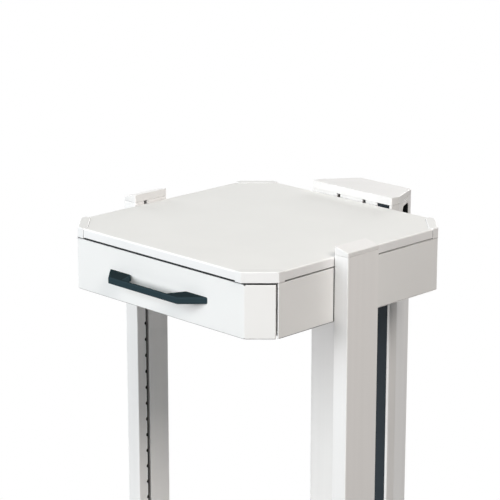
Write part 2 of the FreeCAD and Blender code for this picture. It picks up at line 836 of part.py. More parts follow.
def fork_outline():
    """Legs that taper from the crown to a round boss at the axle."""
    left, right = about_axle(math.radians(200.0)), about_axle(math.radians(-20.0))
    boss = Part.Arc(right, about_axle(math.radians(-90.0)), left).toShape()
    rear = castor_trail + wheel_radius
    corners = [left, V(-fork_half, -head_radius, crown_bottom - crown_thickness),
               V(-fork_half, -head_radius, crown_top), V(-fork_half, rear - leg_shoulder, crown_top),
               V(-fork_half, rear - leg_shoulder / 3.0, crown_top - leg_shoulder / 2.0),
               V(-fork_half, rear, pedal_pivot.z + leg_chin),
               V(-fork_half, rear, pedal_pivot.z - leg_chin), right]
    return Part.Wire([boss] + [Part.makeLine(a, b) for a, b in zip(corners, corners[1:])])


def castor_fork(with_pedal):
    body = Part.Face(fork_outline()).extrude(V(2.0 * fork_half, 0, 0))
    inner = fork_half - leg_thickness
    body = body.cut(box(-inner, inner, -2.0 * wheel_radius, 3.0 * wheel_radius, 0, crown_bottom))
    body = body.fuse(rod(V(0, 0, crown_bottom), V(0, 0, 1), head_radius, head_top - crown_bottom))
    body = body.cut(pin_bore(V(0, 0, head_top - king_pin_reach), V(0, 0, 1), king_pin_radius,
                             king_pin_reach))
    if with_pedal:
        body = body.cut(pin_bore(V(-fork_half, pedal_pivot.y, pedal_pivot.z), V(1, 0, 0), pedal_pin_radius,
                                 2.0 * fork_half))
    return body.removeSplitter()


def castor_axle():
    """Axle clamped between the two legs of the fork."""
    inner = fork_half - leg_thickness
    return pin(V(-inner, castor_trail, wheel_radius), V(1, 0, 0), axle_radius, 2.0 * inner)


def rim_seat(half):
    """Many-sided bar about the axle: the seat that keeps the tyre from creeping on the hub."""
    return many_sided(V(-half, castor_trail, wheel_radius), V(1, 0, 0), wheel_radius - tyre_thickness,
                      2.0 * half, rim_sides)


def castor_hub():
    """Hub that runs on the axle and carries the tyre."""
    half = tread_width / 2.0 - hub_inset
    return rim_seat(half).cut(pin_bore(V(-half, castor_trail, wheel_radius), V(1, 0, 0), axle_radius,
                                       2.0 * half))


def castor_tyre():
    half = tread_width / 2.0
    ring = rod(V(-half, castor_trail, wheel_radius), V(1, 0, 0), wheel_radius, tread_width)
    return ring.cut(rim_seat(half))


def brake_pedal():
    """Foot lever hinged between the legs of the fork, shown pressed down (brake on)."""
    half = fork_half - leg_thickness - pedal_side_gap
    y, z = pedal_pivot.y, pedal_pivot.z
    r = pedal_pin_radius
    bend = y + pedal_length * pedal_bend
    end = y + pedal_length
    tab = side_prism([(y, z + r), (bend, z + r - pedal_dip), (end, z + r),
                      (end, z + r - pedal_thickness), (bend, z + r - pedal_dip - pedal_thickness),
                      (y, z - r)], -half, half)
    hinge = pin(V(-fork_half, y, z), V(1, 0, 0), r, 2.0 * fork_half)
    return fuse_all([hinge, tab])


def placed(shape, side, y):
    moved = shape.copy()
    moved.translate(V(side * beam_centre, y, 0))
    return moved


# ---------------------------------------------------------------- write every sub-part
save("worktop_panel", worktop_panel())
save("edge_band", edge_band())
cap = corner_cap()
save("corner_cap_front_right", cap)
save("corner_cap_front_left", mirrored(cap))
save("corner_cap_rear_right", flipped_in_depth(cap))
save("corner_cap_rear_left", mirrored(flipped_in_depth(cap)))
save("worktop_spacer", worktop_spacer())

save("housing_top_sheet", housing_top_sheet())
save("housing_floor", housing_floor())
save("housing_side_right", housing_side())
save("housing_side_left", mirrored(housing_side()))
save("housing_back_sheet", housing_back_sheet())

save("drawer_front", drawer_front())
save("drawer_tray", drawer_tray())
save("drawer_handle", handle())
save_group("slide_outer_rails", [slide_outer(), mirrored(slide_outer())])
save_group("slide_mid_rails", [slide_mid(), mirrored(slide_mid())])
save_group("slide_inner_rails", [slide_inner(), mirrored(slide_inner())])

save("post_right", post())
save("post_left", mirrored(post()))
save("post_cap_right", post_cap())
save("post_cap_left", mirrored(post_cap()))
save("rear_column", rear_column())
save("column_cap", column_cap())
save("column_cover_strip", cover_strip())
save("cable_outlet", cable_outlet())
save_group("frame_bolts", frame_bolts())
save_group("slot_nuts", slot_nuts())

save("base_beam_right", base_beam())
save("base_beam_left", mirrored(base_beam()))
plugs = [beam_end_plug(beam_y0, -1), beam_end_plug(beam_y1, 1)]
save_group("beam_end_plugs", plugs + [mirrored(shape) for shape in plugs])
save("base_cross_front", tube_across(cross_front_y0, cross_front_y0 + cross_front_depth))
save("base_cross_rear", tube_across(cross_rear_y0, cross_rear_y1))
save("base_deck", base_deck())
save("post_shoe_right", post_shoe())
save("post_shoe_left", mirrored(post_shoe()))
save("column_shoe", column_shoe())

save_group("castor_stems", [placed(castor_stem(), side, y) for side in (-1, 1) for y in castor_ys.values()])
for end, y in castor_ys.items():
    for side_name, side in (("left", -1), ("right", 1)):
        corner = end + "_" + side_name
        fork = castor_fork(end == "front")
        axle = castor_axle()
        save("castor_fork_" + corner, placed(fork, side, y))
        save("castor_axle_" + corner, placed(axle, side, y))
        save("castor_hub_" + corner, placed(castor_hub(), side, y))
        save("castor_tyre_" + corner, placed(castor_tyre(), side, y))
        if end == "front":
            save("brake_pedal_" + side_name, placed(brake_pedal(), side, y))
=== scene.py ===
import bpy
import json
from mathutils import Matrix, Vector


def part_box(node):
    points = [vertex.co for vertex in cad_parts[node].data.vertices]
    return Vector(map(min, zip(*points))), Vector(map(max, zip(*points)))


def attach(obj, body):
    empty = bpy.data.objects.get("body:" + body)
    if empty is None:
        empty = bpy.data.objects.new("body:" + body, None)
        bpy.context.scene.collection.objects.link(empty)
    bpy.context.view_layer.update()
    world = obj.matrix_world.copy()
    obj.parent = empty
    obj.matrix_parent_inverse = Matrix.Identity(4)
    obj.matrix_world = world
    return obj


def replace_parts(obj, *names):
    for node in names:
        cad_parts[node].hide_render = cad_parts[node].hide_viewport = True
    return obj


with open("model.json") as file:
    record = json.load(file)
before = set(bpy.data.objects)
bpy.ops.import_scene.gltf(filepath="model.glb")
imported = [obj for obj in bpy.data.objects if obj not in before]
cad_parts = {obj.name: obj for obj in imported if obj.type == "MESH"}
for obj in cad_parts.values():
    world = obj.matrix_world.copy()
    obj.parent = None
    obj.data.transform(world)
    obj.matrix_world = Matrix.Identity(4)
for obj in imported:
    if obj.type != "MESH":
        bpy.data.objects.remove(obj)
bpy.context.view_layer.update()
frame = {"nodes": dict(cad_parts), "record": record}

import json
import math

import bmesh
import bpy
from mathutils import Matrix, Vector

# Looks of a mobile medication cart. Metres, +Z up, +X to the cart's right, drawer opens towards -Y.

MM = 0.001
NODES = frame["nodes"]
CORNERS = [end + "_" + side for end in ("front", "rear") for side in ("left", "right")]


# ---------------------------------------------------------------- colour and materials
def linear(red, green, blue):
    """Scene-linear colour from the 0 to 255 values the eye sees."""
    def one(value):
        value /= 255.0
        return value / 12.92 if value <= 0.04045 else ((value + 0.055) / 1.055) ** 2.4
    return one(red), one(green), one(blue), 1.0


class Nodes:
    """Small helper that builds and links the nodes of a new material, or of the owner given."""

    def __init__(self, name, owner=None):
        self.owner = owner or bpy.data.materials.new(name)
        self.owner.use_nodes = True
        self.tree = self.owner.node_tree
        self.tree.nodes.clear()

    def coords(self, kind="Object"):
        """Coordinates on the object itself: its places in metres, or its normals."""
        return self.add("ShaderNodeTexCoord").outputs[kind]

    def add(self, kind, **values):
        """New node with some of its settings given."""
        node = self.tree.nodes.new(kind)
        for key, value in values.items():
            setattr(node, key, value)
        return node

    def put(self, socket, value):
        """Give an input a plain value or a link."""
        if isinstance(value, bpy.types.NodeSocket):
            self.tree.links.new(value, socket)
        else:
            socket.default_value = value

    def noise(self, scale, detail=3.0, roughness=0.5):
        """Noise with one scale, or a different one along each axis, in cycles per metre."""
        spacing = self.add("ShaderNodeMapping")
        self.put(spacing.inputs["Vector"], self.coords())
        spacing.inputs["Scale"].default_value = scale if isinstance(scale, tuple) else (scale,) * 3
        node = self.add("ShaderNodeTexNoise")
        self.put(node.inputs["Vector"], spacing.outputs["Vector"])
        node.inputs["Scale"].default_value = 1.0
        node.inputs["Detail"].default_value = detail
        node.inputs["Roughness"].default_value = roughness
        return node.outputs["Fac"]

    def stretch(self, value, start, end, low=0.0, high=1.0, **settings):
        """Take the range from start to end of a value to the range from low to high."""
        node = self.add("ShaderNodeMapRange", **settings)
        self.put(node.inputs["Value"], value)
        limits = {"From Min": start, "From Max": end, "To Min": low, "To Max": high}
        for key, limit in limits.items():
            node.inputs[key].default_value = limit
        return node.outputs["Result"]

    def spread(self, noise, low, high):
        """Take the busy middle of a noise to the range low to high."""
        return self.stretch(noise, 0.3, 0.7, low, high)

    def tone(self, colour, noise, darker, lighter):
        """Colour that wanders with a noise between a darker and a lighter tone of itself."""
        node = self.add("ShaderNodeMix", data_type="RGBA")
        self.put(node.inputs["Factor"], self.spread(noise, 0.0, 1.0))
        for index, gain in ((6, darker), (7, lighter)):
            node.inputs[index].default_value = [min(1.0, c * gain) for c in colour[:3]] + [1.0]
        return node.outputs[2]

    def facing(self, low, high):
        """0 to 1 as the surface turns and the upward part of its normal goes from low to high."""
        split = self.add("ShaderNodeSeparateXYZ")
        self.put(split.inputs[0], self.coords("Normal"))
        return self.stretch(split.outputs["Z"], low, high)

    def blend(self, factor, first, second):
        """Colour that goes from first to second as factor goes from 0 to 1."""
        node = self.add("ShaderNodeMix", data_type="RGBA")
        self.put(node.inputs["Factor"], factor)
        self.put(node.inputs[6], first)
        self.put(node.inputs[7], second)
        return node.outputs[2]

    def bump(self, height, distance, strength, below=None):
        """Normal with a relief of some depth in metres, on top of the relief below if any."""
        node = self.add("ShaderNodeBump")
        self.put(node.inputs["Height"], height)
        node.inputs["Distance"].default_value = distance
        node.inputs["Strength"].default_value = strength
        if below is not None:
            self.put(node.inputs["Normal"], below)
        return node.outputs["Normal"]

    def shade(self, **inputs):
        """Finished material from the inputs of its shader."""
        shader = self.add("ShaderNodeBsdfPrincipled")
        for key, value in inputs.items():
            self.put(shader.inputs[key.replace("_", " ")], value)
        out = self.add("ShaderNodeOutputMaterial")
        self.put(out.inputs["Surface"], shader.outputs["BSDF"])
        return self.owner


def powder_coat(name, colour, peel=650.0, depth=0.00006, rough=(0.40, 0.50), thin=None):
    """Baked powder coat with orange peel; the optional last colour is painted shade on folds that
    turn under.
    """
    n = Nodes(name)
    cloud = n.noise(7.0, detail=4.0)
    peel_noise = n.noise(peel, detail=2.0)
    grit = n.noise(peel * 4.0, detail=1.0)
    normal = n.bump(grit, depth * 0.25, 0.6, n.bump(peel_noise, depth, 0.5))
    tone = n.tone(colour, cloud, 0.985, 1.012)
    # Painted shade: folds whose surface turns downward get the darker colour; faces pointing
    # straight down keep the plain tone.
    if thin:
        painted_under_tone = n.tone(thin, cloud, 0.97, 1.03)
        under = n.blend(n.facing(-0.15, -0.55), tone, painted_under_tone)
        tone = n.blend(n.facing(-0.985, -0.999), under, tone)
    return n.shade(Base_Color=tone, Roughness=n.spread(peel_noise, *rough), Normal=normal,
                   Specular_IOR_Level=0.45)


def laminate(name, colour):
    """Matt pressed laminate with a fine pebble grain and faint mottling."""
    n = Nodes(name)
    cloud = n.noise(11.0, detail=5.0)
    pebble = n.add("ShaderNodeTexVoronoi")
    n.put(pebble.inputs["Vector"], n.coords())
    pebble.inputs["Scale"].default_value = 1400.0
    fine = n.noise(2600.0, detail=2.0)
    normal = n.bump(fine, 0.00002, 0.4, n.bump(pebble.outputs["Distance"], 0.00003, 0.4))
    tone = n.tone(colour, cloud, 0.988, 1.010)
    return n.shade(Base_Color=tone, Roughness=n.spread(fine, 0.62, 0.72), Normal=normal,
                   Specular_IOR_Level=0.15)


def moulded(name, colour, rough=(0.38, 0.48), vary=0.012, gloss=0.5, painted_highlight=None):
    """Moulded plastic with a spark-eroded texture; the optional last colour is a painted highlight
    on upper rounded edges.
    """
    n = Nodes(name)
    cloud = n.noise(24.0, detail=3.0)
    eroded = n.noise(1800.0, detail=3.0, roughness=0.65)
    normal = n.bump(eroded, 0.00003, 0.6)
    tone = n.tone(colour, cloud, 1.0 - vary, 1.0 + vary)
    # Painted highlight: edges whose normal lies between up and sideways get the paler colour; flat
    # tops keep the plain tone.
    if painted_highlight:
        painted_highlight_tone = n.tone(painted_highlight, cloud, 1.0 - vary, 1.0 + vary)
        edge = n.blend(n.facing(0.1, 0.35), tone, painted_highlight_tone)
        tone = n.blend(n.facing(0.93, 0.995), edge, tone)
    return n.shade(Base_Color=tone, Roughness=n.spread(eroded, *rough), Normal=normal,
                   Specular_IOR_Level=gloss)


def moulded_cap(name, colour, painted_shade_top_colour, rough=(0.38, 0.50), gloss=0.45):
    """Moulded plastic whose upward faces have a coarser grain and a darker colour than its walls;
    the darker tops are painted shade.
    """
    n = Nodes(name)
    cloud = n.noise(24.0, detail=3.0)
    eroded = n.noise(1500.0, detail=3.0, roughness=0.65)
    walls = n.tone(colour, cloud, 0.988, 1.012)
    shaded_tops = n.tone(painted_shade_top_colour, eroded, 0.96, 1.03)
    # Painted shade: faces that point up get the darker top colour.
    tone = n.blend(n.facing(0.93, 0.99), walls, shaded_tops)
    normal = n.bump(eroded, 0.00004, 0.6)
    return n.shade(Base_Color=tone, Roughness=n.spread(eroded, *rough), Normal=normal,
                   Specular_IOR_Level=gloss)


def extrusion(name, colour):
    """Powder-coated extrusion: faint die lines along the length under the coat."""
    n = Nodes(name)
    cloud = n.noise((60.0, 60.0, 1.2), detail=4.0)
    lines = n.noise((420.0, 420.0, 1.5), detail=3.0)
    peel_noise = n.noise(700.0, detail=2.0)
    normal = n.bump(peel_noise, 0.00005, 0.45, n.bump(lines, 0.00006, 0.45))
    tone = n.tone(colour, cloud, 0.970, 1.012)
    return n.shade(Base_Color=tone, Roughness=n.spread(lines, 0.28, 0.36), Normal=normal,
                   Specular_IOR_Level=0.5)


def zinc(name, colour):
    """Bright zinc plate: rolling lines along Y, cloudy passivation."""
    n = Nodes(name)
    cloud = n.noise(60.0, detail=5.0)
    lines = n.noise((900.0, 12.0, 900.0), detail=4.0)
    normal = n.bump(lines, 0.00003, 0.4)
    tone = n.tone(colour, cloud, 0.90, 1.06)
    return n.shade(Base_Color=tone, Metallic=1.0, Roughness=n.spread(lines, 0.28, 0.42),
                   Normal=normal)


def rubber(name, colour):
    """Grey tread rubber: cloudy tone, grainy skin and scuffs round the tread."""
    n = Nodes(name)
    cloud = n.noise(45.0, detail=4.0)
    skin = n.noise(1500.0, detail=4.0, roughness=0.7)
    scuff = n.noise((30.0, 260.0, 260.0), detail=2.0)
    normal = n.bump(skin, 0.00006, 0.6)
    tone = n.tone(colour, cloud, 0.86, 1.10)
    return n.shade(Base_Color=tone, Roughness=n.spread(scuff, 0.62, 0.78), Normal=normal,
                   Specular_IOR_Level=0.35)


MATERIALS = {
    "worktop_laminate": laminate("worktop laminate", linear(233, 233, 231)),
    # The edge band's paler edge colour is a painted highlight on its rounded top edge.
    "edge_plastic": moulded("edge band plastic", linear(240, 240, 240), rough=(0.34, 0.42),
                            painted_highlight=linear(252, 252, 251)),
    # Corner caps: the darker top colour is painted shade.
    "cap_plastic": moulded_cap("corner cap plastic", linear(241, 241, 241), linear(224, 224, 222)),
    # The module coat's dark grey on folds that turn under is painted shade.
    "module_steel": powder_coat("module powder coat", linear(240, 240, 239),
                                thin=linear(122, 121, 120)),
    "profile_aluminium": extrusion("profile coat", linear(243, 242, 241)),
    "profile_cap": moulded("profile cap plastic", linear(234, 233, 232)),
    # Handle: the darker top colour is painted shade.
    "handle_plastic": moulded_cap("handle plastic", linear(47, 62, 68), linear(30, 42, 46),
                                  rough=(0.66, 0.78), gloss=0.01),
    "strip_plastic": moulded("cover strip plastic", linear(34, 42, 48), rough=(0.5, 0.6),
                             vary=0.04, gloss=0.2),
    "outlet_plastic": moulded("cable outlet plastic", linear(222, 221, 219)),
    "zinc_steel": zinc("zinc plate", linear(205, 207, 210)),
    "base_steel": powder_coat("base powder coat", linear(231, 230, 228)),
    "plug_plastic": moulded("dark plug plastic", linear(28, 30, 32), gloss=0.18),
    "shoe_cast": powder_coat("shoe powder coat", linear(231, 230, 228), peel=420.0, depth=0.00012),
    "fork_plastic": moulded("castor housing nylon", linear(168, 170, 171), rough=(0.45, 0.58),
                            vary=0.03),
    "hub_plastic": moulded("castor hub nylon", linear(186, 188, 189), vary=0.03),
    "tyre_rubber": rubber("grey tread rubber", linear(104, 106, 108)),
    "pedal_plastic": moulded("brake pedal plastic", linear(44, 57, 64), rough=(0.45, 0.58),
                             vary=0.05),
}
# Painted shade: the column and its cap get darker copies of the posts' coat and cap plastic.
SHADED_COLUMN_COAT = extrusion("column coat", linear(228, 227, 226))
SHADED_COLUMN_CAP = moulded("column cap plastic", linear(229, 228, 227))
SLOT_OF_NODE = {part["node"]: part["material_slot"] for part in frame["record"]["subparts"]}
BODY_OF_NODE = {part: body for body, parts in frame["record"]["behaviour"]["bodies"].items()
                for part in parts}


def dress(obj, slot):
    """Give an object the one material of its slot."""
    obj.data.materials.clear()
    obj.data.materials.append(MATERIALS[slot])


# Edge rounding, in mm, of the nodes that keep their own mesh.
ROUNDING = {
    "worktop_laminate": 0.0, "edge_plastic": 0.0, "cap_plastic": 0.6, "module_steel": 0.7,
    "profile_aluminium": 0.25, "profile_cap": 0.9, "handle_plastic": 1.3, "strip_plastic": 0.4,
    "outlet_plastic": 0.4, "zinc_steel": 0.3, "base_steel": 0.6, "plug_plastic": 0.5,
    "shoe_cast": 1.2, "fork_plastic": 1.2, "hub_plastic": 0.5, "tyre_rubber": 1.0,
    "pedal_plastic": 1.0,
}
ROUNDING_STEPS, ROUNDED_ANGLE = 3, math.radians(32.0)


def soften(obj, radius):
    """Round an object's edges with modifiers, its mesh left alone; radius in mm."""
    if radius <= 0.0:
        return
    weld = obj.modifiers.new("joined corners", "WELD")
    weld.merge_threshold = 0.01 * MM
    bevel = obj.modifiers.new("edge rounding", "BEVEL")
    bevel.width = radius * MM
    bevel.segments = ROUNDING_STEPS
    bevel.limit_method = "ANGLE"
    bevel.angle_limit = ROUNDED_ANGLE
    bevel.miter_outer = "MITER_ARC"
    normals = obj.modifiers.new("even shading", "WEIGHTED_NORMAL")
    normals.keep_sharp = True


for node_name, node in NODES.items():
    dress(node, SLOT_OF_NODE[node_name])
    soften(node, ROUNDING[SLOT_OF_NODE[node_name]])
# The column takes the darker copy of the profile coat: painted shade.
NODES["rear_column"].data.materials[0] = SHADED_COLUMN_COAT


# ---------------------------------------------------------------- mesh helpers
# Distances within which vertices are joined, and the shortest edge that is rounded, in mm.
SHARP_ANGLE, FLAT_ANGLE = math.radians(26.0), math.radians(0.5)
FOLD_STEPS, EDGE_STEPS = 4, 2
JOIN_SPLIT, JOIN_CLOSE = 0.01, 0.003
LEAST_EDGE = 1.2


def new_object(name, mesh_builder, slot, body, sharp=35.0):
    """Object made by a bmesh function, smooth except at its sharp edges."""
    mesh = bpy.data.meshes.new(name)
    bm = bmesh.new()
    mesh_builder(bm)
    bmesh.ops.recalc_face_normals(bm, faces=bm.faces)
    bm.to_mesh(mesh)
    bm.free()
    for polygon in mesh.polygons:
        polygon.use_smooth = True
    mesh.set_sharp_from_angle(angle=math.radians(sharp))
    obj = bpy.data.objects.new(name, mesh)
    bpy.context.scene.collection.objects.link(obj)
    obj.modifiers.new("even shading", "WEIGHTED_NORMAL").keep_sharp = True
    dress(obj, slot)
    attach(obj, body)
    return obj


def is_bend(edge, least):
    """True for an outward edge between two faces that both reach further than least from it."""
    start, end = edge.verts[0].co, edge.verts[1].co
    along = (end - start).normalized()
    for face in edge.link_faces:
        if max((v.co - start - along * along.dot(v.co - start)).length for v in face.verts) < least:
            return False
    return True


def sharp_edges(bm, longer):
    """Outward edges longer than a length in mm, where the faces turn by more than SHARP_ANGLE."""
    return [e for e in bm.edges if e.is_manifold and e.is_convex
            and e.calc_face_angle() > SHARP_ANGLE and e.calc_length() > longer * MM]


def bevelled(bm, edges, width, steps):
    """Cut or round edges by a width in mm."""
    bmesh.ops.bevel(bm, geom=edges, offset=width * MM, offset_type="OFFSET", segments=steps,
                    profile=0.5, affect="EDGES", clamp_overlap=False)


def inner_rim(bm):
    """Top edges of a corner piece above its walls that face the middle of the cart."""
    top = max(v.co.z for v in bm.verts) - 0.01 * MM
    corner = sum((v.co for v in bm.verts), Vector()) / len(bm.verts)
    inward = -Vector((corner.x, corner.y, 0.0)).normalized()
    return [e for e in bm.edges if min(v.co.z for v in e.verts) > top
            and any(f.normal.dot(inward) > 0.6 for f in e.link_faces)]


def refined(node_name, bend, edge, shortest=4.0, reach=4.0, rim=0.0):
    """Finished copy of a CAD node, all in mm: bend is the radius of its outward folds, edge that of
    its other edges. Folds are longer than shortest, between faces that reach at least reach from
    them. rim is the width of the slope along a corner piece's inner top edge."""
    def build(bm):
        bm.from_mesh(NODES[node_name].data)
        bmesh.ops.remove_doubles(bm, verts=bm.verts, dist=JOIN_SPLIT * MM)
        bmesh.ops.dissolve_limit(bm, angle_limit=FLAT_ANGLE, verts=bm.verts, edges=bm.edges)
        if rim:
            bevelled(bm, inner_rim(bm), rim, 1)
        folds = [e for e in sharp_edges(bm, shortest) if is_bend(e, reach * MM)]
        bevelled(bm, folds, bend, FOLD_STEPS)
        bevelled(bm, sharp_edges(bm, LEAST_EDGE), edge, EDGE_STEPS)
        bmesh.ops.remove_doubles(bm, verts=bm.verts, dist=JOIN_CLOSE * MM)
        bmesh.ops.dissolve_degenerate(bm, dist=JOIN_CLOSE * MM, edges=bm.edges)

    piece = new_object("finished_" + node_name, build, SLOT_OF_NODE[node_name],
                       BODY_OF_NODE[node_name], 40.0)
    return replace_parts(piece, node_name)


def joined(bm, here, there):
    """Faces between two rings of as many vertices."""
    for k in range(len(here)):
        after = (k + 1) % len(here)
        bm.faces.new((here[k], here[after], there[after], there[k]))


def turned(bm, rings, place, axis, segments, closed=False):
    """Solid of rings about an axis through place: each ring is (along, radius), in mm, or
    (along, radius, 6) for a hexagon of that corner radius. Open ends get a flat cap; closed joins
    the last ring to the first."""
    turn = Vector((0, 0, 1)).rotation_difference(Vector(axis)).to_matrix()
    loops = []
    for ring in rings:
        along, radius = ring[0] * MM, ring[1] * MM
        loop = []
        for step in range(segments):
            angle = 2.0 * math.pi * step / segments
            reach = radius
            if len(ring) == 3:
                slice_angle = 2.0 * math.pi / ring[2]
                half = slice_angle / 2.0
                reach *= math.cos(half) / math.cos(angle % slice_angle - half)
            spot = Vector((reach * math.cos(angle), reach * math.sin(angle), along))
            loop.append(bm.verts.new(Vector(place) + turn @ spot))
        loops.append(loop)
    pairs = list(zip(loops, loops[1:])) + ([(loops[-1], loops[0])] if closed else [])
    for here, there in pairs:
        joined(bm, here, there)
    if not closed:
        bm.faces.new(loops[0])
        bm.faces.new(loops[-1])


def arc_points(centre, radius, start, end, steps):
    """Points (along, radius) on an arc, angles in degrees."""
    return [(centre[0] + radius * math.cos(math.radians(start + (end - start) * k / steps)),
             centre[1] + radius * math.sin(math.radians(start + (end - start) * k / steps)))
            for k in range(steps + 1)]


def mirrored(profile):
    """Profile given for the far half, completed with its mirror image about along = 0."""
    return profile + [(-along, radius) for along, radius in reversed(profile)]


def middle_of(node_name):
    """Middle of a node's box."""
    low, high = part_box(node_name)
    return (Vector(low) + Vector(high)) / 2.0


def side_bar(bm, outline, x0, x1):
    """Bar along X from x0 to x1 with an outline of (y, z) corners, all in metres."""
    near = [bm.verts.new((x0, y, z)) for y, z in outline]
    far = [bm.verts.new((x1, y, z)) for y, z in outline]
    bm.faces.new(near)
    bm.faces.new(list(reversed(far)))
    joined(bm, near, far)


# ---------------------------------------------------------------- folded sheets, caps and castings
for node_name in ("drawer_front", "housing_side_left", "housing_side_right", "base_deck"):
    refined(node_name, 1.9, 0.35)
for node_name in ("post_cap_left", "post_cap_right"):
    refined(node_name, 1.3, 0.5, shortest=0.0)
# The column cap takes the darker copy of the post cap plastic: painted shade.
refined("column_cap", 1.3, 0.2, shortest=0.0).data.materials[0] = SHADED_COLUMN_CAP
for corner in CORNERS:
    refined("corner_cap_" + corner, 0.3, 0.3, shortest=0.0, rim=1.5)
for node_name in ("post_shoe_left", "post_shoe_right", "column_shoe"):
    refined(node_name, 2.0, 1.0, shortest=0.0, reach=6.0)


# ---------------------------------------------------------------- castors
# All in mm, across the wheel from its middle plane.
WHEEL_RADIUS, TREAD_HALF, RIM_RADIUS = 50.0, 15.0, 41.0
HUB_HALF, HUB_INNER, BOSS_RADIUS, BORE_RADIUS = 13.5, 34.0, 12.0, 4.3
SHOULDER, CROWN_DROP = 4.5, 0.35
SPOKES = 6
FORK_HALF, FORK_HEAD_BASE, SWIVEL_FROM_FORK_FRONT = 22.0, 111.6, 21.0


def tyre_mesh(place):
    """Cushion tyre with round shoulders, a faint crown and a bead groove on each wall."""
    shoulder = arc_points((TREAD_HALF - SHOULDER, WHEEL_RADIUS - CROWN_DROP - SHOULDER), SHOULDER,
                          0.0, 90.0, 6)
    wall = [(TREAD_HALF - 2.4, RIM_RADIUS), (TREAD_HALF - 1.3, RIM_RADIUS + 0.7),
            (TREAD_HALF - 1.2, RIM_RADIUS + 1.5), (TREAD_HALF - 0.3, RIM_RADIUS + 2.1)]
    crown = [(6.0, WHEEL_RADIUS - 0.08), (2.0, WHEEL_RADIUS)]
    return lambda bm: turned(bm, mirrored(wall + shoulder + crown), place, (1, 0, 0), 96, True)


def hub_mesh(place):
    """Nylon hub: rim, thin web, boss and six ribs."""
    boss = [(HUB_HALF + 1.5, BORE_RADIUS), (HUB_HALF + 1.5, BOSS_RADIUS - 1.5),
            (HUB_HALF + 0.6, BOSS_RADIUS), (4.0, BOSS_RADIUS + 0.8)]
    web = [(2.6, BOSS_RADIUS + 2.4), (2.6, HUB_INNER - 2.0)]
    rim = [(4.0, HUB_INNER - 0.6), (HUB_HALF - 1.2, HUB_INNER), (HUB_HALF, HUB_INNER + 1.2),
           (HUB_HALF, RIM_RADIUS - 0.8), (HUB_HALF - 0.8, RIM_RADIUS)]

    def build(bm):
        turned(bm, mirrored(boss + web + rim), place, (1, 0, 0), 72, True)
        for spoke in range(SPOKES):
            turn = Matrix.Rotation(2.0 * math.pi * (spoke + 0.5) / SPOKES, 3, "X")
            for side in (-1.0, 1.0):
                rings = []
                for along, spread in ((2.0, 2.0), (10.6, 1.5), (11.4, 0.8)):
                    corners = ((-spread, BOSS_RADIUS - 0.5), (spread, BOSS_RADIUS - 0.5),
                               (spread, HUB_INNER + 0.6), (-spread, HUB_INNER + 0.6))
                    rings.append([bm.verts.new(place + turn @ Vector((side * along, y, z)) * MM)
                                  for y, z in corners])
                for here, there in zip(rings, rings[1:]):
                    joined(bm, here, there)
                bm.faces.new(rings[0])
                bm.faces.new(rings[-1])
    return build


def axle_ends_mesh(place):
    """Washer and chamfered hexagon head outside each leg of the fork."""
    def build(bm):
        for side in (-1.0, 1.0):
            start = place + Vector((side * FORK_HALF * MM, 0, 0))
            washer = [(0, 8.2), (0.9, 8.2), (1.2, 7.8)]
            head = [(1.2, 6.6, 6), (4.2, 6.6, 6), (5.2, 5.2), (5.3, 4.8)]
            for rings in (washer, head):
                turned(bm, rings, start, (side, 0, 0), 36)
    return build


def race_mesh(place):
    """Dust ring round the swivel head."""
    rings = [(0, 21.0), (0, 23.2), (0.8, 24.0), (5.2, 24.0), (5.8, 23.4), (6.2, 23.4), (6.8, 24.0),
             (9.6, 24.0), (10.4, 23.2), (10.4, 21.0)]
    return lambda bm: turned(bm, rings, place, (0, 0, 1), 72, True)


for corner in CORNERS:
    wheel = middle_of("castor_tyre_" + corner)
    fork_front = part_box("castor_fork_" + corner)[0][1]
    stem = Vector((wheel.x, fork_front + SWIVEL_FROM_FORK_FRONT * MM, FORK_HEAD_BASE * MM))
    tyre = new_object("tyre_" + corner, tyre_mesh(wheel), "tyre_rubber", "wheel_" + corner)
    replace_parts(tyre, "castor_tyre_" + corner)
    hub = new_object("hub_" + corner, hub_mesh(wheel), "hub_plastic", "wheel_" + corner)
    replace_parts(hub, "castor_hub_" + corner)
    new_object("axle_ends_" + corner, axle_ends_mesh(wheel), "zinc_steel", "castor_" + corner)
    new_object("swivel_race_" + corner, race_mesh(stem), "fork_plastic", "castor_" + corner)

PIN_RADIUS, PEDAL_LENGTH, SLOPED_SHARE = 2.5, 38.0, 0.45
RIB_FIRST, RIB_PITCH, RIB_COUNT, RIB_HALF = 3.0, 3.5, 4, 12.5
RIB_OUTLINE = ((-1.0, -0.6), (-0.5, 0.7), (0.5, 0.8), (1.0, -0.4))


def grip_mesh(pedal):
    """Low ribs across the sloping tread of a pedal."""
    low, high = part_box(pedal)
    middle_x = (low[0] + high[0]) / 2.0
    slope = PIN_RADIUS / (PEDAL_LENGTH * SLOPED_SHARE)

    def build(bm):
        for rib in range(RIB_COUNT):
            back = (RIB_FIRST + rib * RIB_PITCH) * MM
            y, z = high[1] - back, high[2] - back * slope
            outline = [(y + u * MM, z + w * MM) for u, w in RIB_OUTLINE]
            side_bar(bm, outline, middle_x - RIB_HALF * MM, middle_x + RIB_HALF * MM)
    return build


for side in ("left", "right"):
    new_object("pedal_grip_" + side, grip_mesh("brake_pedal_" + side), "pedal_plastic",
               "pedal_" + side)


# ---------------------------------------------------------------- screws
def screw(bm, place, axis, head, height):
    """Button head with a hexagon socket."""
    socket = head * 0.48
    dome = [(-0.4, head), (height * 0.30, head), (height * 0.72, head * 0.80),
            (height, head * 0.56)]
    turned(bm, dome + [(height, socket, 6), (height * 0.35, socket * 0.96, 6)], place, axis, 30)


def screws(name, places, axis, body, head, height=2.2):
    """Row of alike screws at places in mm; head is the radius of a head, height its height."""
    def build(bm):
        for x, y, z in places:
            screw(bm, Vector((x, y, z)) * MM, axis, head, height)
    return new_object(name, build, "zinc_steel", body, 25.0)


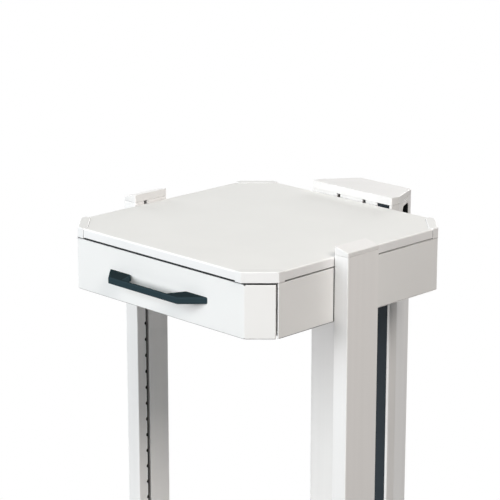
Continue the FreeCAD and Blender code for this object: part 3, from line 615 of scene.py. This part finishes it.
# Places in mm.
DECK_TOP, DECK_SCREW_X, DECK_SCREW_Y = 172.0, (-195.0, -65.0, 65.0, 195.0), (-260.6, 178.1)
HANDLE_SCREW_X, HANDLE_SCREW_Y, HANDLE_SCREW_Z = (-96.0, 96.0), -301.3, 913.5
TOP_SCREW_X, TOP_SCREW_Y, TOP_SCREW_Z = (-160.0, 0.0, 160.0), (-215.0, 120.0), 960.0
SHOE_SIDE, SHOE_SCREW_Y, SHOE_SCREW_Z = 286.2, (-109.0, -69.0), 192.0
SHOE_REAR, REAR_SCREW_X = 291.8, (-42.0, 42.0)
screws("deck_screws", [(x, y, DECK_TOP) for x in DECK_SCREW_X for y in DECK_SCREW_Y],
       (0, 0, 1), "cart_frame", 2.7, 1.7)
screws("handle_screws", [(x, HANDLE_SCREW_Y, HANDLE_SCREW_Z) for x in HANDLE_SCREW_X],
       (0, 1, 0), "drawer", 4.6, 3.0)
screws("worktop_screws", [(x, y, TOP_SCREW_Z) for x in TOP_SCREW_X for y in TOP_SCREW_Y],
       (0, 0, -1), "cart_frame", 4.0)
for side, out in (("right", 1.0), ("left", -1.0)):
    screws("shoe_screws_" + side, [(out * SHOE_SIDE, y, SHOE_SCREW_Z) for y in SHOE_SCREW_Y],
           (out, 0, 0), "cart_frame", 3.4)
screws("shoe_screws_rear", [(x, SHOE_REAR, SHOE_SCREW_Z) for x in REAR_SCREW_X],
       (0, 1, 0), "cart_frame", 3.4)


# ---------------------------------------------------------------- dark strips that paint shade: gaps, slots and cable outlet
def upright(bm, outline, low, high):
    """Bar over a closed outline of (x, y) corners, between two heights, all in mm."""
    below = [bm.verts.new(Vector((x, y, low)) * MM) for x, y in outline]
    above = [bm.verts.new(Vector((x, y, high)) * MM) for x, y in outline]
    bm.faces.new(below)
    bm.faces.new(above)
    joined(bm, below, above)


def placed(outline, origin, across, inward):
    """Outline of (sideways, inward) distances, laid out from an origin along two directions."""
    return [(origin[0] + u * across[0] + v * inward[0], origin[1] + u * across[1] + v * inward[1])
            for u, v in outline]


FACE_TOP, LIP_BOTTOM, BAND_BOTTOM = 959.4, 962.2, 964.0
FACE_FRONT, HALF_FLAT, CHAMFER_RUN = -302.85, 210.0, 36.5
GAP_SHADE_INSET, GAP_SHADE_DEPTH, GAP_SHADE_PLAY, CAP_REACH = 0.3, 3.4, 0.3, 191.2


def gap_shade_mesh(bm):
    """Dark strip under the worktop, just above the drawer front and its two slanted ends: painted
    shade that darkens the gap.
    """
    def path(inset):
        corner = HALF_FLAT - inset * math.tan(math.radians(22.5))
        front = FACE_FRONT + inset
        right = [(corner, front), (corner + CHAMFER_RUN, front + CHAMFER_RUN)]
        return [(-x, y) for x, y in reversed(right)] + right

    outline = path(GAP_SHADE_INSET) + path(GAP_SHADE_INSET + GAP_SHADE_DEPTH)[::-1]
    upright(bm, outline, FACE_TOP + GAP_SHADE_PLAY, LIP_BOTTOM - 0.05)
    ys = (FACE_FRONT + GAP_SHADE_INSET, FACE_FRONT + GAP_SHADE_INSET + GAP_SHADE_DEPTH)
    upright(bm, [(-CAP_REACH, ys[0]), (CAP_REACH, ys[0]), (CAP_REACH, ys[1]), (-CAP_REACH, ys[1])],
            LIP_BOTTOM - 0.3, BAND_BOTTOM - 0.05)


soften(new_object("worktop_gap_shade", gap_shade_mesh, "plug_plastic", "cart_frame"), 0.25)

BOARD_TOP, BOARD_MIDDLE, BOARD_EDGE, BOARD_FRONT, ARRIS = 980.0, -58.65, 248.75, -304.65, 2.6
CAP_SEAM_X, CAP_SEAM_Y, CAP_SLANT, CAP_SHADOW_WIDTH, CAP_SHADOW_RISE = 191.55, -247.45, 485.444, 0.5, 0.15


def cap_shadow_lines_mesh(bm):
    """Grey strip in the joint round each corner cap, on the board and at its walls' ends: painted
    shadow lines at the caps' seams.
    """
    slant = CAP_SLANT + CAP_SHADOW_WIDTH * math.sqrt(2.0)
    outer = [(BOARD_EDGE - ARRIS, CAP_SEAM_Y), (CAP_SLANT + CAP_SEAM_Y, CAP_SEAM_Y),
             (CAP_SEAM_X, CAP_SEAM_X - CAP_SLANT), (CAP_SEAM_X, BOARD_FRONT + ARRIS)]
    inner_y, inner_x = CAP_SEAM_Y - CAP_SHADOW_WIDTH, CAP_SEAM_X + CAP_SHADOW_WIDTH
    inner = [(BOARD_EDGE - ARRIS, inner_y), (slant + inner_y, inner_y),
             (inner_x, inner_x - slant), (inner_x, BOARD_FRONT + ARRIS)]
    front = [(CAP_SEAM_X - CAP_SHADOW_WIDTH, BOARD_FRONT + 0.1), (CAP_SEAM_X - CAP_SHADOW_WIDTH, BOARD_FRONT - CAP_SHADOW_RISE),
             (CAP_SEAM_X + 0.02, BOARD_FRONT - CAP_SHADOW_RISE), (CAP_SEAM_X + 0.02, BOARD_FRONT + 0.1)]
    side = [(BOARD_EDGE - 0.1, CAP_SEAM_Y + CAP_SHADOW_WIDTH), (BOARD_EDGE + CAP_SHADOW_RISE, CAP_SEAM_Y + CAP_SHADOW_WIDTH),
            (BOARD_EDGE + CAP_SHADOW_RISE, CAP_SEAM_Y - 0.02), (BOARD_EDGE - 0.1, CAP_SEAM_Y - 0.02)]
    bars = ((outer + inner[::-1], BOARD_TOP - 0.7, BOARD_TOP - 0.03),
            (front, BAND_BOTTOM + 0.1, BOARD_TOP - ARRIS),
            (side, BAND_BOTTOM + 0.1, BOARD_TOP - ARRIS))
    for across in (-1.0, 1.0):
        for along in (-1.0, 1.0):
            for outline, low, high in bars:
                corners = [(across * x, BOARD_MIDDLE + along * (y - BOARD_MIDDLE))
                           for x, y in outline]
                upright(bm, corners, low, high)


new_object("cap_shadow_lines", cap_shadow_lines_mesh, "tyre_rubber", "cart_frame", 20.0)

SLOT_SHADE_OUTLINE = mirrored([(-7.7, 0.1), (-7.7, -2.0), (-7.1, -2.0), (-6.9, -0.5)])
SLOT_HALF, SLOT_DEPTH, LIP_NEAR, LIP_FAR, LIP_SKIN = 4.0, 13.15, 0.7, 4.4, 0.3
LIP = [(SLOT_HALF, LIP_NEAR), (SLOT_HALF, LIP_FAR), (SLOT_HALF - LIP_SKIN, LIP_FAR),
       (SLOT_HALF - LIP_SKIN, LIP_NEAR + 0.3)]
CHANNEL = [(u, SLOT_DEPTH + v) for u, v in SLOT_SHADE_OUTLINE]
POST_INNER, POST_SLOT_Y, COLUMN_FRONT, COLUMN_SLOT_X = 250.15, -102.75, 189.55, 32.0
POST_FOOT, POST_SHADE_TOP, COLUMN_SHADE_TOP = 172.0, 974.0, 979.0


def slot_shade_mesh(bm):
    """Dark channel on the floor of each slot, and dark sides in the mouths of the column's: painted
    shade in the slots.
    """
    for side in (-1.0, 1.0):
        upright(bm, placed(CHANNEL, (side * POST_INNER, POST_SLOT_Y), (0.0, side), (side, 0.0)),
                POST_FOOT, POST_SHADE_TOP)
        for outline in (CHANNEL, LIP, [(-u, v) for u, v in LIP]):
            mouth = (side * COLUMN_SLOT_X, COLUMN_FRONT)
            upright(bm, placed(outline, mouth, (1.0, 0.0), (0.0, 1.0)), POST_FOOT, COLUMN_SHADE_TOP)


new_object("slot_shade_strips", slot_shade_mesh, "plug_plastic", "cart_frame", 20.0)

POST_Y0, POST_Y1, PANEL_BOTTOM, PANEL_TOP = -128.25, -49.95, 867.0, 961.0
CORD_RADIUS, CORD_TIP, CORD_INSET, CORD_GAP = 0.8, 0.4, 0.35, 0.05


def post_gap_shade_mesh(bm):
    """Round dark cord in the gap between each post and the side of the drawer housing: painted
    shade in the gap.
    """
    length = PANEL_TOP - PANEL_BOTTOM
    rings = [(0.0, CORD_RADIUS * 0.7), (CORD_TIP, CORD_RADIUS), (length - CORD_TIP, CORD_RADIUS),
             (length, CORD_RADIUS * 0.7)]
    for side in (-1.0, 1.0):
        for y in (POST_Y0 + CORD_INSET, POST_Y1 - CORD_INSET):
            foot = Vector((side * (POST_INNER + CORD_GAP), y, PANEL_BOTTOM)) * MM
            turned(bm, rings, foot, (0, 0, 1), 12)


new_object("post_gap_shade", post_gap_shade_mesh, "plug_plastic", "cart_frame", 50.0)

OUTLET_SPOT, OUTLET_TURN, OUTLET_MIDDLE = (81.8, 248.6), math.radians(25.388), 936.4
OUTLET_HALF, OUTLET_HALF_HEIGHT, OUTLET_CORNER = 21.0, 39.0, 10.0
DUCT_HALF, DUCT_SKIN, DUCT_NEAR, DUCT_FAR = 24.0, 1.2, 3.3, 20.0
DUCT_BOTTOM, DUCT_TOP = 840.0, 978.8
SLEEVE_SKIN, SLEEVE_PLAY, SLEEVE_STEPS = 0.5, 0.05, 32


def outlet_shade_mesh(bm):
    """Upright channel of dark plastic inside the column, and its sleeve to the outlet: painted
    shade behind the cable outlet.
    """
    out = (math.cos(OUTLET_TURN), math.sin(OUTLET_TURN))
    along = (-out[1], out[0])
    flat = (OUTLET_HALF - OUTLET_CORNER, OUTLET_HALF_HEIGHT - OUTLET_CORNER)
    inner_end = DUCT_NEAR + 0.4
    loops = []
    for depth, shrink in ((inner_end, SLEEVE_PLAY), (0.5, SLEEVE_PLAY), (0.3, SLEEVE_PLAY + 0.2),
                          (0.5, SLEEVE_SKIN), (inner_end, SLEEVE_SKIN)):
        loop = []
        for turn in range(SLEEVE_STEPS):
            angle = 2.0 * math.pi * (turn + 0.5) / SLEEVE_STEPS
            swing = (math.cos(angle), math.sin(angle))
            u, w = [math.copysign(f, c) + (OUTLET_CORNER - shrink) * c for f, c in zip(flat, swing)]
            x, y = (OUTLET_SPOT[k] + u * along[k] - depth * out[k] for k in (0, 1))
            loop.append(bm.verts.new(Vector((x, y, OUTLET_MIDDLE + w)) * MM))
        loops.append(loop)
    for here, there in zip(loops, loops[1:] + loops[:1]):
        joined(bm, here, there)
    half, inside = DUCT_HALF, DUCT_HALF - DUCT_SKIN
    floor_of_duct = DUCT_SKIN - DUCT_FAR
    profile = [(-half, -DUCT_NEAR), (-half, -DUCT_FAR), (half, -DUCT_FAR), (half, -DUCT_NEAR),
               (inside, -DUCT_NEAR), (inside, floor_of_duct), (-inside, floor_of_duct),
               (-inside, -DUCT_NEAR)]
    upright(bm, placed(profile, OUTLET_SPOT, along, out), DUCT_BOTTOM, DUCT_TOP)


new_object("outlet_shade_duct", outlet_shade_mesh, "plug_plastic", "cart_frame", 20.0)


# ---------------------------------------------------------------- stage, light and camera
# The floor's size and where it fades to white are in metres from its middle; paleness is 0 to 1.
FLOOR_SIZE, FLOOR_PALE, FLOOR_BOUNCE = 24.0, 0.72, 0.20
FADE_START, FADE_END = 0.45, 1.05


def grey(value):
    """Colour with the same amount of red, green and blue."""
    return value, value, value, 1.0


def seen_directly(n):
    """1 for camera, mirror and glass rays, 0 for light."""
    path = n.add("ShaderNodeLightPath")
    total = path.outputs["Is Camera Ray"]
    for name in ("Is Glossy Ray", "Is Transmission Ray"):
        node = n.add("ShaderNodeMath", operation="MAXIMUM")
        n.put(node.inputs[0], total)
        n.put(node.inputs[1], path.outputs[name])
        total = node.outputs[0]
    return total


def mixed(n, factor, first, second):
    """Shader that goes from first to second as factor goes from 0 to 1."""
    node = n.add("ShaderNodeMixShader")
    n.put(node.inputs[0], factor)
    n.put(node.inputs[1], first.outputs[0])
    n.put(node.inputs[2], second.outputs[0])
    return node.outputs[0]


def floor_material():
    """Pale floor that keeps the cart's shadow near it and runs out to plain white."""
    n = Nodes("floor")
    length = n.add("ShaderNodeVectorMath", operation="LENGTH")
    n.put(length.inputs[0], n.coords())
    far = n.stretch(length.outputs["Value"], FADE_START, FADE_END, interpolation_type="SMOOTHSTEP")
    seen = seen_directly(n)
    white_out = n.add("ShaderNodeMath", operation="MULTIPLY")
    n.put(white_out.inputs[0], far)
    n.put(white_out.inputs[1], seen)
    diffuse = n.add("ShaderNodeBsdfDiffuse")
    n.put(diffuse.inputs["Color"], n.blend(seen, grey(FLOOR_BOUNCE), grey(FLOOR_PALE)))
    glow = n.add("ShaderNodeEmission")
    out = n.add("ShaderNodeOutputMaterial")
    n.put(out.inputs["Surface"], mixed(n, white_out.outputs[0], diffuse, glow))
    return n.owner


def make_floor():
    """Flat square under the wheels."""
    half = FLOOR_SIZE / 2.0
    mesh = bpy.data.meshes.new("floor")
    corners = [(-half, -half, 0.0), (half, -half, 0.0), (half, half, 0.0), (-half, half, 0.0)]
    mesh.from_pydata(corners, [], [(0, 1, 2, 3)])
    mesh.materials.append(floor_material())
    obj = bpy.data.objects.new("floor", mesh)
    bpy.context.scene.collection.objects.link(obj)


def make_world():
    """Background that is white to look at and gives no light of its own."""
    world = bpy.data.worlds.new("studio")
    bpy.context.scene.world = world
    n = Nodes("studio", world)
    dark, white = n.add("ShaderNodeBackground"), n.add("ShaderNodeBackground")
    dark.inputs["Strength"].default_value = 0.0
    white.inputs["Color"].default_value = grey(1.0)
    out = n.add("ShaderNodeOutputWorld")
    n.put(out.inputs["Surface"], mixed(n, seen_directly(n), dark, white))


MIDDLE = Vector((0.0, 0.0, 0.75))


def softbox(name, place, width, height, watts, tint=(1.0, 1.0, 1.0)):
    """Rectangular lamp aimed at the middle of the cart."""
    lamp = bpy.data.lights.new(name, "AREA")
    lamp.color = tint
    lamp.shape = "RECTANGLE"
    lamp.size = width
    lamp.size_y = height
    lamp.energy = watts
    obj = bpy.data.objects.new(name, lamp)
    obj.location = place
    obj.rotation_euler = (MIDDLE - Vector(place)).to_track_quat("-Z", "Y").to_euler()
    bpy.context.scene.collection.objects.link(obj)


make_floor()
make_world()
COOL, COLD, WARM = (0.98, 0.985, 1.0), (0.86, 0.97, 1.0), (1.0, 0.95, 0.905)
softbox("front_low", (-1.0, -5.6, 2.0), 4.0, 1.7, 201.0, COOL)
softbox("front_high", (-1.0, -5.2, 3.8), 4.0, 1.7, 104.0, COLD)
softbox("side", (4.4, -1.3, 4.6), 2.3, 2.3, 236.0, WARM)
softbox("top", (-0.9, 0.9, 3.6), 1.8, 1.8, 18.0)
softbox("back", (-1.7, 5.4, 2.3), 3.0, 1.7, 120.0)
softbox("left", (-5.0, 0.7, 2.3), 2.2, 1.7, 80.0)

AZIMUTH, ELEVATION = math.radians(44.98), math.radians(15.52)
CAMERA_PLACE, FOCAL_LENGTH, SENSOR_WIDTH = (2.4738, -2.5542, 1.9058), 146.2, 36.0
camera = bpy.data.cameras.new("camera")
camera.lens = FOCAL_LENGTH
camera.sensor_width = SENSOR_WIDTH
camera.clip_start, camera.clip_end = 0.05, 60.0
eye = bpy.data.objects.new("camera", camera)
eye.location = CAMERA_PLACE
eye.rotation_euler = (math.pi / 2.0 - ELEVATION, 0.0, AZIMUTH)
bpy.context.scene.collection.objects.link(eye)
bpy.context.scene.camera = eye
bpy.context.scene.view_settings.view_transform = "Standard"
